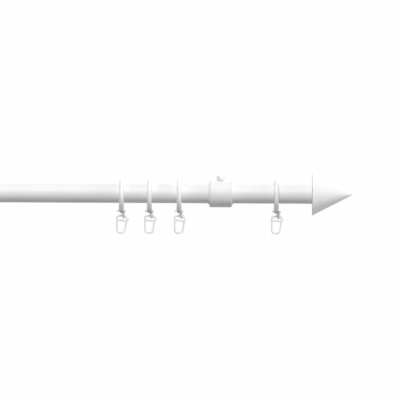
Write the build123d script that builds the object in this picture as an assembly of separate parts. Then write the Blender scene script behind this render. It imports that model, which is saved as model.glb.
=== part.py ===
from build123d import *
import math
import os

# Curtain rod on two wall brackets, in millimetres.
# X runs along the rod, Y points to the wall and Z is up.
# The origin is halfway between the two tapped holes in the arms, in the plane of the wall.

# Rod
rod_length = 1000.0
rod_diameter = 20.0
rod_wall = 1.0
wall_distance = 80.0

# Bracket collar, the ring that the rod passes through
bracket_inset = 97.6
collar_width = 26.4
collar_wall = 3.9
collar_edge = 1.0
collar_round = 0.6
collar_lip = 1.2
collar_lip_wall = 0.9
collar_lip_round = 0.3
collar_bore_gap = 0.3
socket_wall = 2.45
socket_length = 9.0
socket_edge = 1.0
socket_neck = 1.2

# Bracket arm, a turned bar with a foot that stands on the wall
arm_diameter = 12.0
arm_fit = 0.05
foot_diameter = 24.0
foot_thickness = 5.0
foot_edge = 1.2
foot_neck = 3.0

# Tapped hole in the foot for a hanger bolt, at its core size
stud_hole = 5.0
stud_hole_depth = 24.0

# Grub screw that locks the arm in its socket, from below
grub_diameter = 4.0
grub_slot_width = 0.8
grub_slot_depth = 1.2
grub_recess = 0.3
thread_fit = 0.05

# Clamp screw on top of the collar
clamp_diameter = 5.0
clamp_head_diameter = 8.0
clamp_head_height = 4.8
clamp_head_edge = 0.5
clamp_slot_width = 1.4
clamp_slot_depth = 1.9
clamp_seat_gap = 0.3
clamp_tip_gap = 0.1

# Finial
cone_diameter = 45.6
cone_length = 42.6
cone_tip_diameter = 1.0
cone_edge = 0.3
cone_tip_edge = 0.4
cone_gap = 0.1
pin_diameter = 8.0
pin_in_cone = 14.0
pin_in_rod = 24.0
pin_edge = 0.8
pin_fit = 0.05
insert_floor = 3.0
insert_fit = 0.02

# Curtain rings
ring_play = 4.5
ring_section = 5.0
ring_hang_gap = 0.3
inner_ring_inset = 44.3
middle_ring_inset = 76.0
far_ring_inset = 105.9
outer_ring_offset = 59.4
boss_rim = 0.9
boss_height = 2.8
boss_edge = 0.5
boss_seat_drop = 0.4

# Swivel eye under the ring
eye_pin_diameter = 2.4
eye_pin_fit = 0.08
eye_head_lip = 0.7
eye_head_height = 1.1
eye_shoulder_lip = 3.4
eye_shoulder_height = 1.8
eye_shoulder_edge = 0.4
eye_neck_diameter = 4.4
eye_neck_tip = 2.0
eye_neck_height = 1.6
eye_end_play = 0.15
eye_loop_play = 2.4
eye_wire = 1.8
eye_loop_offset = 2.5
eye_rest_turn = 18.0

# Pleat hook, as offsets from the straight wire that lies in the eye
hook_wire = 1.8
hook_eye_gap = 0.3
hook_left = 4.6
hook_right = 5.7
hook_foot_right = 3.5
hook_drop = 18.0
hook_nose_drop = 2.5
hook_nose_bend = 1.5
hook_corner_bend = 1.8
hook_foot_bend = 3.3
crossbar_drop = 5.0
crossbar_wave = 0.7
crossbar_crest = 3.4
crossbar_dip = 6.0
crossbar_bend = 1.6
nub_bend = 0.8
nub_reach = 1.9
nub_rise = 1.6

cut_margin = 1.0
edge_search = 0.01

rod_radius = rod_diameter / 2
rod_y = -wall_distance
rod_inside_radius = rod_radius - rod_wall
bracket_x = rod_length / 2 - bracket_inset
collar_bore_radius = rod_radius + collar_bore_gap
collar_radius = collar_bore_radius + collar_wall
arm_radius = arm_diameter / 2
socket_radius = arm_radius + arm_fit + socket_wall
arm_tip_y = rod_y + collar_radius
socket_end_y = arm_tip_y + socket_length
grub_y = (arm_tip_y + socket_end_y) / 2
stud_radius = stud_hole / 2
grub_radius = grub_diameter / 2
grub_mouth_z = grub_recess - socket_radius
grub_tip_z = -arm_radius / 2

ring_inside_radius = rod_radius + ring_play / 2
ring_centre_z = rod_radius + ring_hang_gap - ring_inside_radius
ring_wire_radius = ring_inside_radius + ring_section / 2
ring_bottom_z = ring_centre_z - ring_inside_radius
boss_top_z = ring_bottom_z - boss_seat_drop
boss_bottom_z = boss_top_z - boss_height
shoulder_top_z = boss_bottom_z - eye_end_play
shoulder_bottom_z = shoulder_top_z - eye_shoulder_height
eye_pin_radius = eye_pin_diameter / 2
eye_head_radius = eye_pin_radius + eye_head_lip
eye_shoulder_radius = eye_pin_radius + eye_shoulder_lip
boss_radius = eye_head_radius + boss_rim
eye_wire_radius = eye_wire / 2
hook_wire_radius = hook_wire / 2
eye_hole_radius = hook_wire_radius + eye_loop_play / 2
eye_loop_radius = eye_hole_radius + eye_wire_radius
eye_centre_z = shoulder_bottom_z - eye_loop_radius - eye_wire_radius / 2
hook_z = eye_centre_z - eye_hole_radius + hook_eye_gap + hook_wire_radius
eye_half_width = eye_loop_radius * math.sin(math.radians(eye_rest_turn)) + eye_wire_radius
hook_nose = eye_loop_offset + eye_half_width + hook_eye_gap + hook_wire_radius

ring_places = [
    -bracket_x - outer_ring_offset,
    -bracket_x + inner_ring_inset,
    -bracket_x + middle_ring_inset,
    -bracket_x + far_ring_inset,
    bracket_x - far_ring_inset,
    bracket_x - middle_ring_inset,
    bracket_x - inner_ring_inset,
    bracket_x + outer_ring_offset,
]


def bar_x(radius, x_start, x_end, y=0.0, z=0.0):
    """A round bar along X."""
    middle = (x_start + x_end) / 2
    return Pos(middle, y, z) * Rot(0, 90, 0) * Cylinder(radius, abs(x_end - x_start))


def bar_y(radius, y_start, y_end, x=0.0, z=0.0):
    """A round bar along Y."""
    middle = (y_start + y_end) / 2
    return Pos(x, middle, z) * Rot(90, 0, 0) * Cylinder(radius, abs(y_end - y_start))


def bar_z(radius, z_start, z_end, x=0.0, y=0.0):
    """A round bar along Z."""
    middle = (z_start + z_end) / 2
    return Pos(x, y, middle) * Cylinder(radius, abs(z_end - z_start))


def round_edges(solid, axis, place):
    """The round edges of a solid that lie at one place along an axis."""
    circles = solid.edges().filter_by(GeomType.CIRCLE)
    return circles.filter_by_position(axis, place - edge_search, place + edge_search)


def rounded(solid, axis, place, radius):
    """The solid with the round edges at one place along an axis filleted."""
    return fillet(round_edges(solid, axis, place), radius)


def wire(points, radii, radius, y=0.0):
    """A round wire through points in the XZ plane, with the corners bent to the given radii."""
    path = FilletPolyline(*[(x, y, z) for x, z in points], radius=radii)
    section = Plane(origin=path @ 0, z_dir=path % 0) * Circle(radius)
    return sweep(section, path=path)


def make_arm(x):
    foot = bar_y(foot_diameter / 2, -foot_thickness, 0, x)
    arm = rounded(foot, Axis.Y, -foot_thickness, foot_edge)
    arm += bar_y(arm_radius, 0, arm_tip_y, x)
    rims = round_edges(arm, Axis.Y, -foot_thickness)
    neck = [rim for rim in rims if rim.radius < arm_radius + edge_search]
    arm = fillet(neck, foot_neck)
    arm -= bar_y(stud_radius, -stud_hole_depth, cut_margin, x)
    return arm - bar_z(grub_radius + thread_fit, -arm_radius - cut_margin, grub_tip_z, x, grub_y)


def make_grub_screw(x):
    screw = bar_z(grub_radius, grub_mouth_z, grub_tip_z, x, grub_y)
    slot = Box(grub_diameter + cut_margin, grub_slot_width, grub_slot_depth * 2)
    return screw - Pos(x, grub_y, grub_mouth_z) * slot


def make_collar(x):
    half = collar_width / 2
    band = half - collar_lip
    collar = bar_x(collar_radius, x - band, x + band, rod_y)
    collar = chamfer(collar.edges().filter_by(GeomType.CIRCLE), collar_edge)
    collar = fillet(collar.edges().filter_by(GeomType.CIRCLE), collar_round)
    collar += bar_x(collar_bore_radius + collar_lip_wall, x - half, x + half, rod_y)
    socket = bar_y(socket_radius, rod_y, socket_end_y, x)
    collar += rounded(socket, Axis.Y, socket_end_y, socket_edge)
    neck = [edge for edge in collar.edges() if edge.geom_type not in (GeomType.LINE, GeomType.CIRCLE)]
    collar = fillet(neck, socket_neck)
    collar -= bar_x(collar_bore_radius, x - half - cut_margin, x + half + cut_margin, rod_y)
    lips = [rim for end in (-half, half) for rim in round_edges(collar, Axis.X, x + end)]
    collar = fillet(lips, collar_lip_round)
    collar -= bar_y(arm_radius + arm_fit, arm_tip_y - arm_fit, socket_end_y + cut_margin, x)
    screw_radius = clamp_diameter / 2 + thread_fit
    collar -= bar_z(screw_radius, 0, collar_radius + cut_margin, x, rod_y)
    return collar - bar_z(grub_radius + thread_fit, -socket_radius - cut_margin, grub_tip_z, x, grub_y)


def make_clamp_screw(x):
    head_bottom = collar_radius + clamp_seat_gap
    head_top = head_bottom + clamp_head_height
    head = bar_z(clamp_head_diameter / 2, head_bottom, head_top, x, rod_y)
    head = rounded(head, Axis.Z, head_top, clamp_head_edge)
    slot = Box(clamp_slot_width, clamp_head_diameter + cut_margin, clamp_slot_depth * 2)
    head -= Pos(x, rod_y, head_top) * slot
    shank = bar_z(clamp_diameter / 2, rod_radius + clamp_tip_gap, head_bottom, x, rod_y)
    return head + shank


def make_rod_tube():
    half = rod_length / 2
    tube = bar_x(rod_radius, -half, half, rod_y)
    return tube - bar_x(rod_inside_radius, -half - cut_margin, half + cut_margin, rod_y)


def make_end_insert(side):
    end = side * rod_length / 2
    floor = end - side * (pin_in_rod + cut_margin)
    insert = bar_x(rod_inside_radius - insert_fit, end, floor - side * insert_floor, rod_y)
    return insert - bar_x(pin_diameter / 2 + pin_fit, end + side * cut_margin, floor, rod_y)


def make_finial_cone(side):
    base_x = side * (rod_length / 2 + cone_gap)
    cone = Cone(cone_diameter / 2, cone_tip_diameter / 2, cone_length)
    base = cone.edges().filter_by(GeomType.CIRCLE).sort_by(Axis.Z)[0]
    cone = fillet(base, cone_edge)
    tip = cone.edges().filter_by(GeomType.CIRCLE).sort_by(Axis.Z)[-1]
    cone = fillet(tip, cone_tip_edge)
    cone = Pos(base_x + side * cone_length / 2, rod_y, 0) * Rot(0, 90 * side, 0) * cone
    pin_end = base_x + side * pin_in_cone
    return cone - bar_x(pin_diameter / 2 + insert_fit, base_x - side * cut_margin, pin_end, rod_y)


def make_finial_pin(side):
    base_x = side * (rod_length / 2 + cone_gap)
    inner_end = base_x - side * pin_in_rod
    pin = bar_x(pin_diameter / 2, base_x + side * pin_in_cone, inner_end, rod_y)
    return chamfer(round_edges(pin, Axis.X, inner_end), pin_edge)


def make_ring(x):
    ring = Pos(x, rod_y, ring_centre_z) * Rot(0, 90, 0) * Torus(ring_wire_radius, ring_section / 2)
    boss = bar_z(boss_radius, boss_bottom_z, boss_top_z, x, rod_y)
    ring += fillet(boss.edges().filter_by(GeomType.CIRCLE), boss_edge)
    ring -= bar_z(eye_head_radius + eye_end_play, boss_top_z, boss_top_z + ring_section, x, rod_y)
    shoulder_room = eye_shoulder_radius + eye_end_play
    ring -= bar_z(shoulder_room, boss_bottom_z - ring_section, boss_bottom_z, x, rod_y)
    pin_hole = eye_pin_radius + eye_pin_fit
    return ring - bar_z(pin_hole, boss_bottom_z - cut_margin, boss_top_z + cut_margin, x, rod_y)


def make_ring_eye(x):
    head_bottom = boss_top_z + eye_end_play
    eye = bar_z(eye_head_radius, head_bottom, head_bottom + eye_head_height, x, rod_y)
    eye += bar_z(eye_pin_radius, shoulder_bottom_z, head_bottom, x, rod_y)
    shoulder = bar_z(eye_shoulder_radius, shoulder_bottom_z, shoulder_top_z, x, rod_y)
    eye += fillet(shoulder.edges().filter_by(GeomType.CIRCLE), eye_shoulder_edge)
    neck = Cone(eye_neck_tip / 2, eye_neck_diameter / 2, eye_neck_height)
    eye += Pos(x, rod_y, shoulder_bottom_z - eye_neck_height / 2) * neck
    loop = Rot(0, 0, eye_rest_turn) * Rot(0, 90, 0) * Torus(eye_loop_radius, eye_wire_radius)
    return eye + Pos(x + eye_loop_offset, rod_y, eye_centre_z) * loop


def make_pleat_hook(x):
    nose = x + hook_nose
    left = x - hook_left
    foot_z = hook_z - hook_drop
    bar_level = hook_z - crossbar_drop
    frame_points = [
        (nose, hook_z - hook_nose_drop),
        (nose, hook_z),
        (left, hook_z),
        (left, foot_z),
        (x + hook_foot_right, foot_z),
        (x + hook_right, bar_level),
    ]
    frame_bends = [hook_nose_bend, hook_corner_bend, hook_foot_bend, hook_foot_bend]
    hook = wire(frame_points, frame_bends, hook_wire_radius, rod_y)
    bar_points = [
        (left, bar_level),
        (left + crossbar_crest, bar_level + crossbar_wave),
        (left + crossbar_dip, bar_level),
        (x + hook_right, bar_level),
        (x + hook_right + nub_reach, bar_level + nub_rise),
    ]
    hook += wire(bar_points, [crossbar_bend, crossbar_bend, nub_bend], hook_wire_radius, rod_y)
    for end_x, end_z in (frame_points[0], frame_points[-1], bar_points[-1]):
        hook += Pos(end_x, rod_y, end_z) * Sphere(hook_wire_radius)
    return hook


def both_sides(name, maker, place):
    """A left and a right copy of one piece, each made at its own place."""
    return {name + "_left": maker(-place), name + "_right": maker(place)}


def make_parts():
    parts = {"rod_tube": make_rod_tube()}
    parts.update(both_sides("bracket_arm", make_arm, bracket_x))
    parts.update(both_sides("bracket_collar", make_collar, bracket_x))
    parts.update(both_sides("clamp_screw", make_clamp_screw, bracket_x))
    parts["arm_grub_screws"] = Compound([make_grub_screw(-bracket_x), make_grub_screw(bracket_x)])
    parts.update(both_sides("end_insert", make_end_insert, 1))
    parts.update(both_sides("finial_cone", make_finial_cone, 1))
    parts.update(both_sides("finial_pin", make_finial_pin, 1))
    for number, x in enumerate(ring_places, start=1):
        parts[f"ring_{number}"] = make_ring(x)
        parts[f"ring_eye_{number}"] = make_ring_eye(x)
        parts[f"pleat_hook_{number}"] = make_pleat_hook(x)
    return parts


os.makedirs("parts", exist_ok=True)
for node, shape in make_parts().items():
    export_step(shape, f"parts/{node}.step")
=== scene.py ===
import math

import bmesh
import bpy
from mathutils import Matrix, Vector


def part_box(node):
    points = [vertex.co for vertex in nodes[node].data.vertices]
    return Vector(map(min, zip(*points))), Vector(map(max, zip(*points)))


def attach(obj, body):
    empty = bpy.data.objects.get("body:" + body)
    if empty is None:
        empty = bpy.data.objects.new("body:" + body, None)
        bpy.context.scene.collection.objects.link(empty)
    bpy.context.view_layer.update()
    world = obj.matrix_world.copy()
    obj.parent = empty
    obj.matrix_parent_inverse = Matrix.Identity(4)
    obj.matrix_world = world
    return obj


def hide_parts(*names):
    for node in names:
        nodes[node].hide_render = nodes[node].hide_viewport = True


# White curtain rod with cone finials, wall brackets, rings and pleat hooks.
# Lengths are metres and angles degrees: X along the rod, Y towards the wall, Z up.

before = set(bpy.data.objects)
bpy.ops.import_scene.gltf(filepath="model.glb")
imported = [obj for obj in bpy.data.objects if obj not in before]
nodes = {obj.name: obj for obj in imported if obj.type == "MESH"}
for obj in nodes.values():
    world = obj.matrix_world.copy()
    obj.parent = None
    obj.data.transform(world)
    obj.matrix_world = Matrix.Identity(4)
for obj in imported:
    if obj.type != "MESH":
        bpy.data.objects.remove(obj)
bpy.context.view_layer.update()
scene = bpy.context.scene
scene.view_settings.view_transform = "Standard"
print("frame loaded,", len(nodes), "nodes")


def boxMiddle(name):
    low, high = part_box(name)
    return (low + high) / 2


def addObject(name, data):
    piece = bpy.data.objects.new(name, data)
    scene.collection.objects.link(piece)
    return piece


def emptyTree(owner):
    owner.use_nodes = True
    owner.node_tree.nodes.clear()
    return owner.node_tree


def addNode(tree, kind, **settings):
    node = tree.nodes.new(kind)
    for key, value in settings.items():
        setattr(node, key, value)
    return node


noiseLook = {
    "low": 0.3,  # the part of a noise that its grains really use
    "high": 0.7,
    "driftDetail": 3.0,
    "patchDetail": 4.0,
}


def noiseAt(tree, place, size, detail, stretch=(1, 1, 1)):
    # a noise whose grains are about size wide
    mapping = addNode(tree, "ShaderNodeMapping")
    mapping.inputs["Scale"].default_value = [part / size for part in stretch]
    noise = addNode(tree, "ShaderNodeTexNoise")
    noise.inputs["Scale"].default_value = 1.0
    noise.inputs["Detail"].default_value = detail
    tree.links.new(place, mapping.inputs["Vector"])
    tree.links.new(mapping.outputs["Vector"], noise.inputs["Vector"])
    return noise.outputs["Fac"]


def spread(tree, value, low, high):
    # stretches the middle of a noise over low to high
    ramp = addNode(tree, "ShaderNodeMapRange")
    ramp.inputs["From Min"].default_value = noiseLook["low"]
    ramp.inputs["From Max"].default_value = noiseLook["high"]
    ramp.inputs["To Min"].default_value = low
    ramp.inputs["To Max"].default_value = high
    tree.links.new(value, ramp.inputs["Value"])
    return ramp.outputs["Result"]


def blendTones(tree, factor, first, second):
    mix = addNode(tree, "ShaderNodeMix", data_type="RGBA")
    mix.inputs["A"].default_value = (*first, 1)
    mix.inputs["B"].default_value = (*second, 1)
    tree.links.new(factor, mix.inputs["Factor"])
    return mix.outputs["Result"]


# what a finish has where its own dictionary says nothing
plainSurface = {
    "grainStretch": (1, 1, 1),
    "metallic": 0.0,
    "glow": 0.0,
    "glowReach": (1, 1, 1),
    "glowDepth": 0.001,
}


def makeFinish(look):
    # one surface: two tones that drift, roughness that varies, and a fine relief
    look = {**plainSurface, **look}
    material = bpy.data.materials.new(look["name"])
    tree = emptyTree(material)
    output = addNode(tree, "ShaderNodeOutputMaterial")
    shader = addNode(tree, "ShaderNodeBsdfPrincipled")
    place = addNode(tree, "ShaderNodeTexCoord").outputs["Object"]
    stretch = look["grainStretch"]

    drift = noiseAt(tree, place, look["driftSize"], noiseLook["driftDetail"])
    tone = spread(tree, drift, 0.0, 1.0)
    colour = blendTones(tree, tone, look["pale"], look["deep"])
    tree.links.new(colour, shader.inputs["Base Color"])

    patches = noiseAt(tree, place, look["patchSize"], noiseLook["patchDetail"], stretch)
    rough = spread(tree, patches, look["smooth"], look["rough"])
    tree.links.new(rough, shader.inputs["Roughness"])

    grain = noiseAt(tree, place, look["grainSize"], look["grainDetail"], stretch)
    bump = addNode(tree, "ShaderNodeBump")
    bump.inputs["Strength"].default_value = look["grainStrength"]
    bump.inputs["Distance"].default_value = look["grainDepth"]
    tree.links.new(grain, bump.inputs["Height"])
    tree.links.new(bump.outputs["Normal"], shader.inputs["Normal"])

    shader.inputs["Metallic"].default_value = look["metallic"]
    shader.inputs["Subsurface Weight"].default_value = look["glow"]
    shader.inputs["Subsurface Radius"].default_value = look["glowReach"]
    shader.inputs["Subsurface Scale"].default_value = look["glowDepth"]
    tree.links.new(shader.outputs["BSDF"], output.inputs["Surface"])
    return material


whiteEnamel = {
    "name": "whiteEnamel",
    "pale": (0.880, 0.880, 0.872),
    "deep": (0.862, 0.863, 0.857),
    "driftSize": 0.035,
    "patchSize": 0.010,
    "smooth": 0.52,
    "rough": 0.58,
    "grainSize": 0.0008,
    "grainDetail": 1.5,
    "grainStrength": 0.15,
    "grainDepth": 0.00002,
}

ringPlastic = {
    "name": "ringPlastic",
    "pale": (0.925, 0.925, 0.917),
    "deep": (0.907, 0.907, 0.899),
    "driftSize": 0.012,
    "patchSize": 0.004,
    "smooth": 0.28,
    "rough": 0.34,
    "grainSize": 0.0005,
    "grainDetail": 2.0,
    "grainStrength": 0.08,
    "grainDepth": 0.00001,
    "glow": 0.90,
    "glowDepth": 0.005,
}

hookPlastic = {
    "name": "hookPlastic",
    "pale": (0.905, 0.907, 0.902),
    "deep": (0.880, 0.883, 0.878),
    "driftSize": 0.008,
    "patchSize": 0.003,
    "smooth": 0.35,
    "rough": 0.50,
    "grainSize": 0.0004,
    "grainDetail": 3.0,
    "grainStrength": 0.2,
    "grainDepth": 0.00002,
    "glow": 0.50,
    "glowDepth": 0.0015,
}

insertPlastic = {
    "name": "insertPlastic",
    "pale": (0.62, 0.62, 0.60),
    "deep": (0.55, 0.55, 0.53),
    "driftSize": 0.006,
    "patchSize": 0.002,
    "smooth": 0.5,
    "rough": 0.65,
    "grainSize": 0.0003,
    "grainDetail": 3.0,
    "grainStrength": 0.35,
    "grainDepth": 0.00003,
}

zincSteel = {
    "name": "zincSteel",
    "pale": (0.66, 0.67, 0.69),
    "deep": (0.56, 0.57, 0.58),
    "driftSize": 0.004,
    "patchSize": 0.0012,
    "smooth": 0.25,
    "rough": 0.42,
    "grainSize": 0.0004,
    "grainDetail": 4.0,
    "grainStrength": 0.3,
    "grainDepth": 0.00002,
    "grainStretch": (1, 0.15, 1),
    "metallic": 1.0,
}

finishes = {
    "white_enamel": makeFinish(whiteEnamel),
    "ring_plastic": makeFinish(ringPlastic),
    "hook_plastic": makeFinish(hookPlastic),
    "insert_plastic": makeFinish(insertPlastic),
    "zinc_steel": makeFinish(zincSteel),
}
print("finishes made:", len(finishes))


def dress(piece, slotName):
    piece.data.materials.clear()
    piece.data.materials.append(finishes[slotName])


def slotOfNode(name):
    if name.startswith(("ring_eye", "pleat_hook")):
        return "hook_plastic"
    if name.startswith("ring_"):
        return "ring_plastic"
    if name.startswith("end_insert"):
        return "insert_plastic"
    if name.startswith(("arm_grub_screws", "finial_pin")):
        return "zinc_steel"
    return "white_enamel"


for name, node in nodes.items():
    dress(node, slotOfNode(name))
print("frame pieces dressed")


turning = {
    "arcSteps": 6,  # straight steps in each rounded corner
    "sharpAngle": 40.0,
    "tiny": 1e-6,
}


def roundedOutline(corners):
    # corners are (along, radius, bend); a bend above 0 turns that corner into an arc
    outline = []
    count = len(corners)
    for index, (along, radius, bend) in enumerate(corners):
        corner = Vector((along, radius))
        if bend <= 0:
            outline.append(corner)
            continue
        before = Vector(corners[index - 1][:2]) - corner
        after = Vector(corners[(index + 1) % count][:2]) - corner
        half = before.angle(after) / 2
        reach = bend / math.tan(half)
        inward = (before.normalized() + after.normalized()).normalized()
        centre = corner + inward * bend / math.sin(half)
        start = corner + before.normalized() * reach - centre
        sweep = math.pi - 2 * half
        side = 1 if before.x * after.y - before.y * after.x < 0 else -1
        for step in range(turning["arcSteps"] + 1):
            turn = side * sweep * step / turning["arcSteps"]
            outline.append(centre + Matrix.Rotation(turn, 2) @ start)
    return outline


def turned(name, outline, middle, segments, closed, relief=None):
    # turns an outline of (along, radius) round a line along X through middle
    mesh = bpy.data.meshes.new(name)
    shape = bmesh.new()
    rows = []
    for along, radius in outline:
        if radius < turning["tiny"]:
            rows.append([shape.verts.new((along, middle.y, middle.z))])
            continue
        row = []
        for index in range(segments):
            angle = 2 * math.pi * index / segments
            out = radius + (relief(radius, angle) if relief else 0.0)
            spot = (along, middle.y + out * math.cos(angle), middle.z + out * math.sin(angle))
            row.append(shape.verts.new(spot))
        rows.append(row)
    pairs = list(zip(rows, rows[1:]))
    if closed:
        pairs.append((rows[-1], rows[0]))
    for first, second in pairs:
        for index in range(segments):
            following = (index + 1) % segments
            corners = [first[index % len(first)], first[following % len(first)]]
            corners += [second[following % len(second)], second[index % len(second)]]
            face = list(dict.fromkeys(corners))
            if len(face) > 2:
                shape.faces.new(face)
    bmesh.ops.recalc_face_normals(shape, faces=shape.faces)
    shape.to_mesh(mesh)
    shape.free()
    mesh.shade_smooth()
    mesh.set_sharp_from_angle(angle=math.radians(turning["sharpAngle"]))
    return addObject(name, mesh)


tubeLook = {
    "wall": 0.001,
    "lip": 0.0003,
    "segments": 128,
    "runs": 24,
    "seamSide": -20.0,  # below the level line towards the wall
    "seamHeight": 0.00006,
    "seamHalfWidth": 0.10,  # radians
}


def makeTube():
    low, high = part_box("rod_tube")
    middle = (low + high) / 2
    outside = (high.z - low.z) / 2
    inside = outside - tubeLook["wall"]
    lip = tubeLook["lip"]
    corners = [(low.x, inside, lip), (low.x, outside, lip)]
    step = (high.x - low.x) / tubeLook["runs"]
    corners += [(low.x + step * run, outside, 0) for run in range(1, tubeLook["runs"])]
    corners += [(high.x, outside, lip), (high.x, inside, lip)]
    seamAngle = math.radians(tubeLook["seamSide"])

    def seam(radius, angle):
        # the flattened weld, on the side that faces the wall
        away = abs(math.remainder(angle - seamAngle, 2 * math.pi)) / tubeLook["seamHalfWidth"]
        if radius < outside - turning["tiny"] or away >= 1:
            return 0.0
        return tubeLook["seamHeight"] * math.cos(away * math.pi / 2) ** 2

    outline = roundedOutline(corners)
    tube = turned("rod_tube_smooth", outline, middle, tubeLook["segments"], True, seam)
    dress(tube, "white_enamel")
    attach(tube, "rod")
    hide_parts("rod_tube")


makeTube()
print("tube turned")


ringLook = {
    "section": 0.0050,
    "turns": 168,
    "sides": 44,
    "lineHeight": 0.00005,
    "bossTop": -0.0146,
    "bossBottom": -0.0174,
    "bossRound": 0.0005,
    "pinHole": 0.00128,  # radii of the three rooms for the swivel eye
    "headRoom": 0.00205,
    "shoulderRoom": 0.00475,
    "cutReach": 0.004,
    "holeSides": 48,
    "sharpAngle": 35.0,
}


def uprightTurned(name, outline, spot):
    # turned along X first, then stood up on Z with its line through spot
    piece = turned(name, outline, Vector((0, 0, 0)), ringLook["holeSides"], False)
    upright = Matrix.Rotation(-math.pi / 2, 4, "Y")
    piece.data.transform(Matrix.Translation((spot.x, spot.y, 0)) @ upright)
    return piece


def roundBar(name, radius, bottom, top, spot):
    outline = [(bottom, 0.0), (bottom, radius), (top, radius), (top, 0.0)]
    return uprightTurned(name, outline, spot)


def carve(piece, tool, operation):
    # joins or cuts two solids for good and throws the tool away
    change = piece.modifiers.new("carve", "BOOLEAN")
    change.operation = operation
    change.solver = "EXACT"
    change.object = tool
    shaped = piece.evaluated_get(bpy.context.evaluated_depsgraph_get())
    mesh = bpy.data.meshes.new_from_object(shaped)
    piece.modifiers.clear()
    piece.data = mesh
    bpy.data.objects.remove(tool)


def ringOutline(middle, outside):
    # a round section, with the parting line as one raised point outside
    half = ringLook["section"] / 2
    outline = []
    for step in range(ringLook["sides"]):
        angle = 2 * math.pi * step / ringLook["sides"]
        line = ringLook["lineHeight"] if step == 0 else 0.0
        radius = outside - half + half * math.cos(angle) + line
        outline.append((middle.x + half * math.sin(angle), radius))
    return outline


def makeRingMesh():
    # one moulded ring and its boss, with room for the swivel eye
    low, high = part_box("ring_1")
    middle = (low + high) / 2
    outside = (high.y - low.y) / 2
    middle.z = high.z - outside
    ring = turned("ring", ringOutline(middle, outside), middle, ringLook["turns"], True)

    bend = ringLook["bossRound"]
    radius = (high.x - low.x) / 2
    bottom, top, reach = ringLook["bossBottom"], ringLook["bossTop"], ringLook["cutReach"]
    corners = [(bottom, 0, 0), (bottom, radius, bend), (top, radius, bend), (top, 0, 0)]
    carve(ring, uprightTurned("boss", roundedOutline(corners), middle), "UNION")

    rooms = [
        ("head", ringLook["headRoom"], top, top + reach),
        ("shoulder", ringLook["shoulderRoom"], bottom - reach, bottom),
        ("pin", ringLook["pinHole"], bottom - reach, top + reach),
    ]
    for name, room, start, end in rooms:
        carve(ring, roundBar(name, room, start, end, middle), "DIFFERENCE")

    mesh = ring.data
    mesh.transform(Matrix.Translation((-middle.x, 0, 0)))
    mesh.shade_smooth()
    mesh.set_sharp_from_angle(angle=math.radians(ringLook["sharpAngle"]))
    bpy.data.objects.remove(ring)
    return mesh


def makeRings(count):
    pattern = makeRingMesh()
    for number in range(1, count + 1):
        node = f"ring_{number}"
        mesh = pattern.copy()
        mesh.transform(Matrix.Translation((boxMiddle(node).x, 0, 0)))
        ring = addObject(f"{node}_moulded", mesh)
        dress(ring, "ring_plastic")
        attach(ring, node)
        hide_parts(node)


ringCount = sum(1 for name in nodes if slotOfNode(name) == "ring_plastic")
makeRings(ringCount)
print("rings moulded:", ringCount)


studio = {
    "floorHeight": -0.45,
    "floorHalf": 60.0,
    "floorBounce": 0.34,  # how pale the floor is where it lights the rod
    "floorGlow": 0.08,
    "white": 0.99,  # the level of the backdrop in the picture
    "fill": 0.19,  # the open sky's light on the rod
    "lampDistance": 3.0,
    "lamps": {
        "keyLamp": {"strength": 2.15, "spread": 20.0, "side": -4.0, "height": 44.0},
        "topLamp": {"strength": 0.36, "spread": 30.0, "side": 0.0, "height": 86.0},
        "rightLamp": {"strength": 1.42, "spread": 20.0, "side": 83.0, "height": 6.0},
        "wallLamp": {"strength": 1.10, "spread": 28.0, "side": 165.0, "height": 22.0},
    },
}


def seenDirectly(tree):
    # 1 where the ray comes straight from the camera, or through gloss or glass
    path = addNode(tree, "ShaderNodeLightPath")
    total = path.outputs["Is Camera Ray"]
    for name in ("Is Glossy Ray", "Is Transmission Ray"):
        either = addNode(tree, "ShaderNodeMath", operation="MAXIMUM")
        tree.links.new(total, either.inputs[0])
        tree.links.new(path.outputs[name], either.inputs[1])
        total = either.outputs[0]
    return total


def makeWorld():
    world = bpy.data.worlds.new("studioAir")
    tree = emptyTree(world)
    output = addNode(tree, "ShaderNodeOutputWorld")
    background = addNode(tree, "ShaderNodeBackground")
    background.inputs["Color"].default_value = (1, 1, 1, 1)
    level = addNode(tree, "ShaderNodeMapRange")
    level.inputs["To Min"].default_value = studio["fill"]
    level.inputs["To Max"].default_value = studio["white"]
    tree.links.new(seenDirectly(tree), level.inputs["Value"])
    tree.links.new(level.outputs["Result"], background.inputs["Strength"])
    tree.links.new(background.outputs["Background"], output.inputs["Surface"])
    scene.world = world


def floorLight():
    # what a level white surface sends back under the open sky and the lamps
    lamps = studio["lamps"].values()
    fromLamps = sum(lamp["strength"] * math.sin(math.radians(lamp["height"])) for lamp in lamps)
    return studio["fill"] + fromLamps / math.pi


def floorPaint():
    # seen directly the floor is as white as the backdrop, and still takes the shadow
    material = bpy.data.materials.new("paleFloor")
    tree = emptyTree(material)
    output = addNode(tree, "ShaderNodeOutputMaterial")
    direct = seenDirectly(tree)
    tone = addNode(tree, "ShaderNodeMapRange")
    tone.inputs["To Min"].default_value = studio["floorBounce"]
    tone.inputs["To Max"].default_value = (studio["white"] - studio["floorGlow"]) / floorLight()
    tree.links.new(direct, tone.inputs["Value"])
    paint = addNode(tree, "ShaderNodeBsdfDiffuse")
    tree.links.new(tone.outputs["Result"], paint.inputs["Color"])
    glow = addNode(tree, "ShaderNodeMath", operation="MULTIPLY")
    glow.inputs[1].default_value = studio["floorGlow"]
    tree.links.new(direct, glow.inputs[0])
    white = addNode(tree, "ShaderNodeEmission")
    tree.links.new(glow.outputs[0], white.inputs["Strength"])
    both = addNode(tree, "ShaderNodeAddShader")
    tree.links.new(paint.outputs["BSDF"], both.inputs[0])
    tree.links.new(white.outputs["Emission"], both.inputs[1])
    tree.links.new(both.outputs["Shader"], output.inputs["Surface"])
    return material


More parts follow.
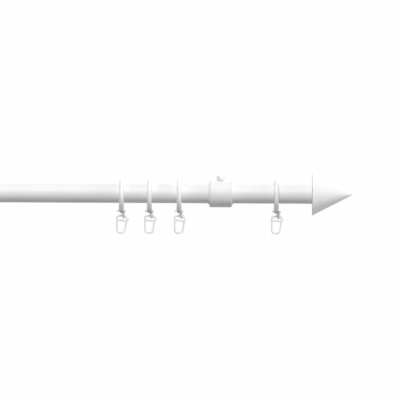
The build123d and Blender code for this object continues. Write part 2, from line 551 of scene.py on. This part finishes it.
def makeFloor():
    half, height = studio["floorHalf"], studio["floorHeight"]
    sides = [(-half, -half), (half, -half), (half, half), (-half, half)]
    mesh = bpy.data.meshes.new("floor")
    mesh.from_pydata([(*side, height) for side in sides], [], [(0, 1, 2, 3)])
    mesh.materials.append(floorPaint())
    addObject("floor", mesh)


def directionTo(side, height):
    # side is counted to the right of the viewer, height above the horizon
    turn, lift = math.radians(side), math.radians(height)
    level = math.cos(lift)
    return Vector((math.sin(turn) * level, -math.cos(turn) * level, math.sin(lift)))


def makeLamp(name, look):
    # light from so far off that it falls alike on the whole rod; spread is how wide it looks
    lamp = bpy.data.lights.new(name, "SUN")
    lamp.energy = look["strength"]
    lamp.angle = math.radians(look["spread"])
    holder = addObject(name, lamp)
    away = directionTo(look["side"], look["height"])
    holder.location = away * studio["lampDistance"]
    holder.rotation_mode = "QUATERNION"
    holder.rotation_quaternion = away.to_track_quat("Z", "Y")


photo = {
    "distance": 9.0,
    "widthAcross": 0.4268,  # what the picture's width covers at the rod
    "leftOfBracket": 0.0220,
    "belowRod": 0.0065,
    "height": 1.2,  # above the horizon, as for the lamps
    "roll": 0.26,
    "sensor": 36.0,  # millimetres
    "farthest": 200.0,
}


def makeCamera():
    bracket = boxMiddle("bracket_collar_right")
    rod = boxMiddle("rod_tube")
    aim = Vector((bracket.x - photo["leftOfBracket"], rod.y, rod.z - photo["belowRod"]))
    away = directionTo(0.0, photo["height"])
    lens = bpy.data.cameras.new("photoCamera")
    lens.sensor_width = photo["sensor"]
    lens.lens = photo["sensor"] * photo["distance"] / photo["widthAcross"]
    lens.clip_end = photo["farthest"]
    camera = addObject("photoCamera", lens)
    camera.rotation_mode = "QUATERNION"
    camera.location = aim + away * photo["distance"]
    level = away.to_track_quat("Z", "Y")
    roll = Matrix.Rotation(math.radians(photo["roll"]), 3, "Z").to_quaternion()
    camera.rotation_quaternion = level @ roll
    scene.camera = camera


makeWorld()
makeFloor()
makeCamera()
for lampName, lampLook in studio["lamps"].items():
    makeLamp(lampName, lampLook)
print("studio and camera set")
